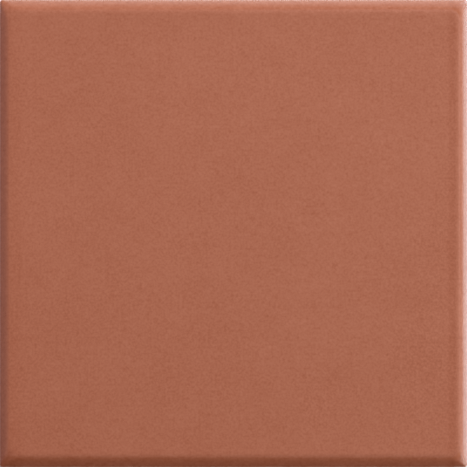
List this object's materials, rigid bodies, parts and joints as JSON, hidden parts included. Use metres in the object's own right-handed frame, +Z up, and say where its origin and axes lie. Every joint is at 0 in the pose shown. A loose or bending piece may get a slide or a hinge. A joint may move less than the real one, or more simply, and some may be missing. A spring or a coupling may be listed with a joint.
{
  "type": "ceramic tile",
  "caption": "Square ceramic tile with a satin terracotta-coloured glaze, softly cushioned edges and a waffle of shallow pockets on its back that keys it to adhesive.",
  "frame": {"origin": "centre of the back, on the plane of the ribs that the tile lies on", "axes": "+Z up through the thickness to the glazed face, +X to the face's right and +Y to its top as pictured"},
  "size_m": [0.1, 0.1, 0.008],
  "materials": {
    "satin_glaze": "satin"
  },
  "bodies": {
    "root": {"ceramic_tile": "satin_glaze"}
  },
  "joints": []
}
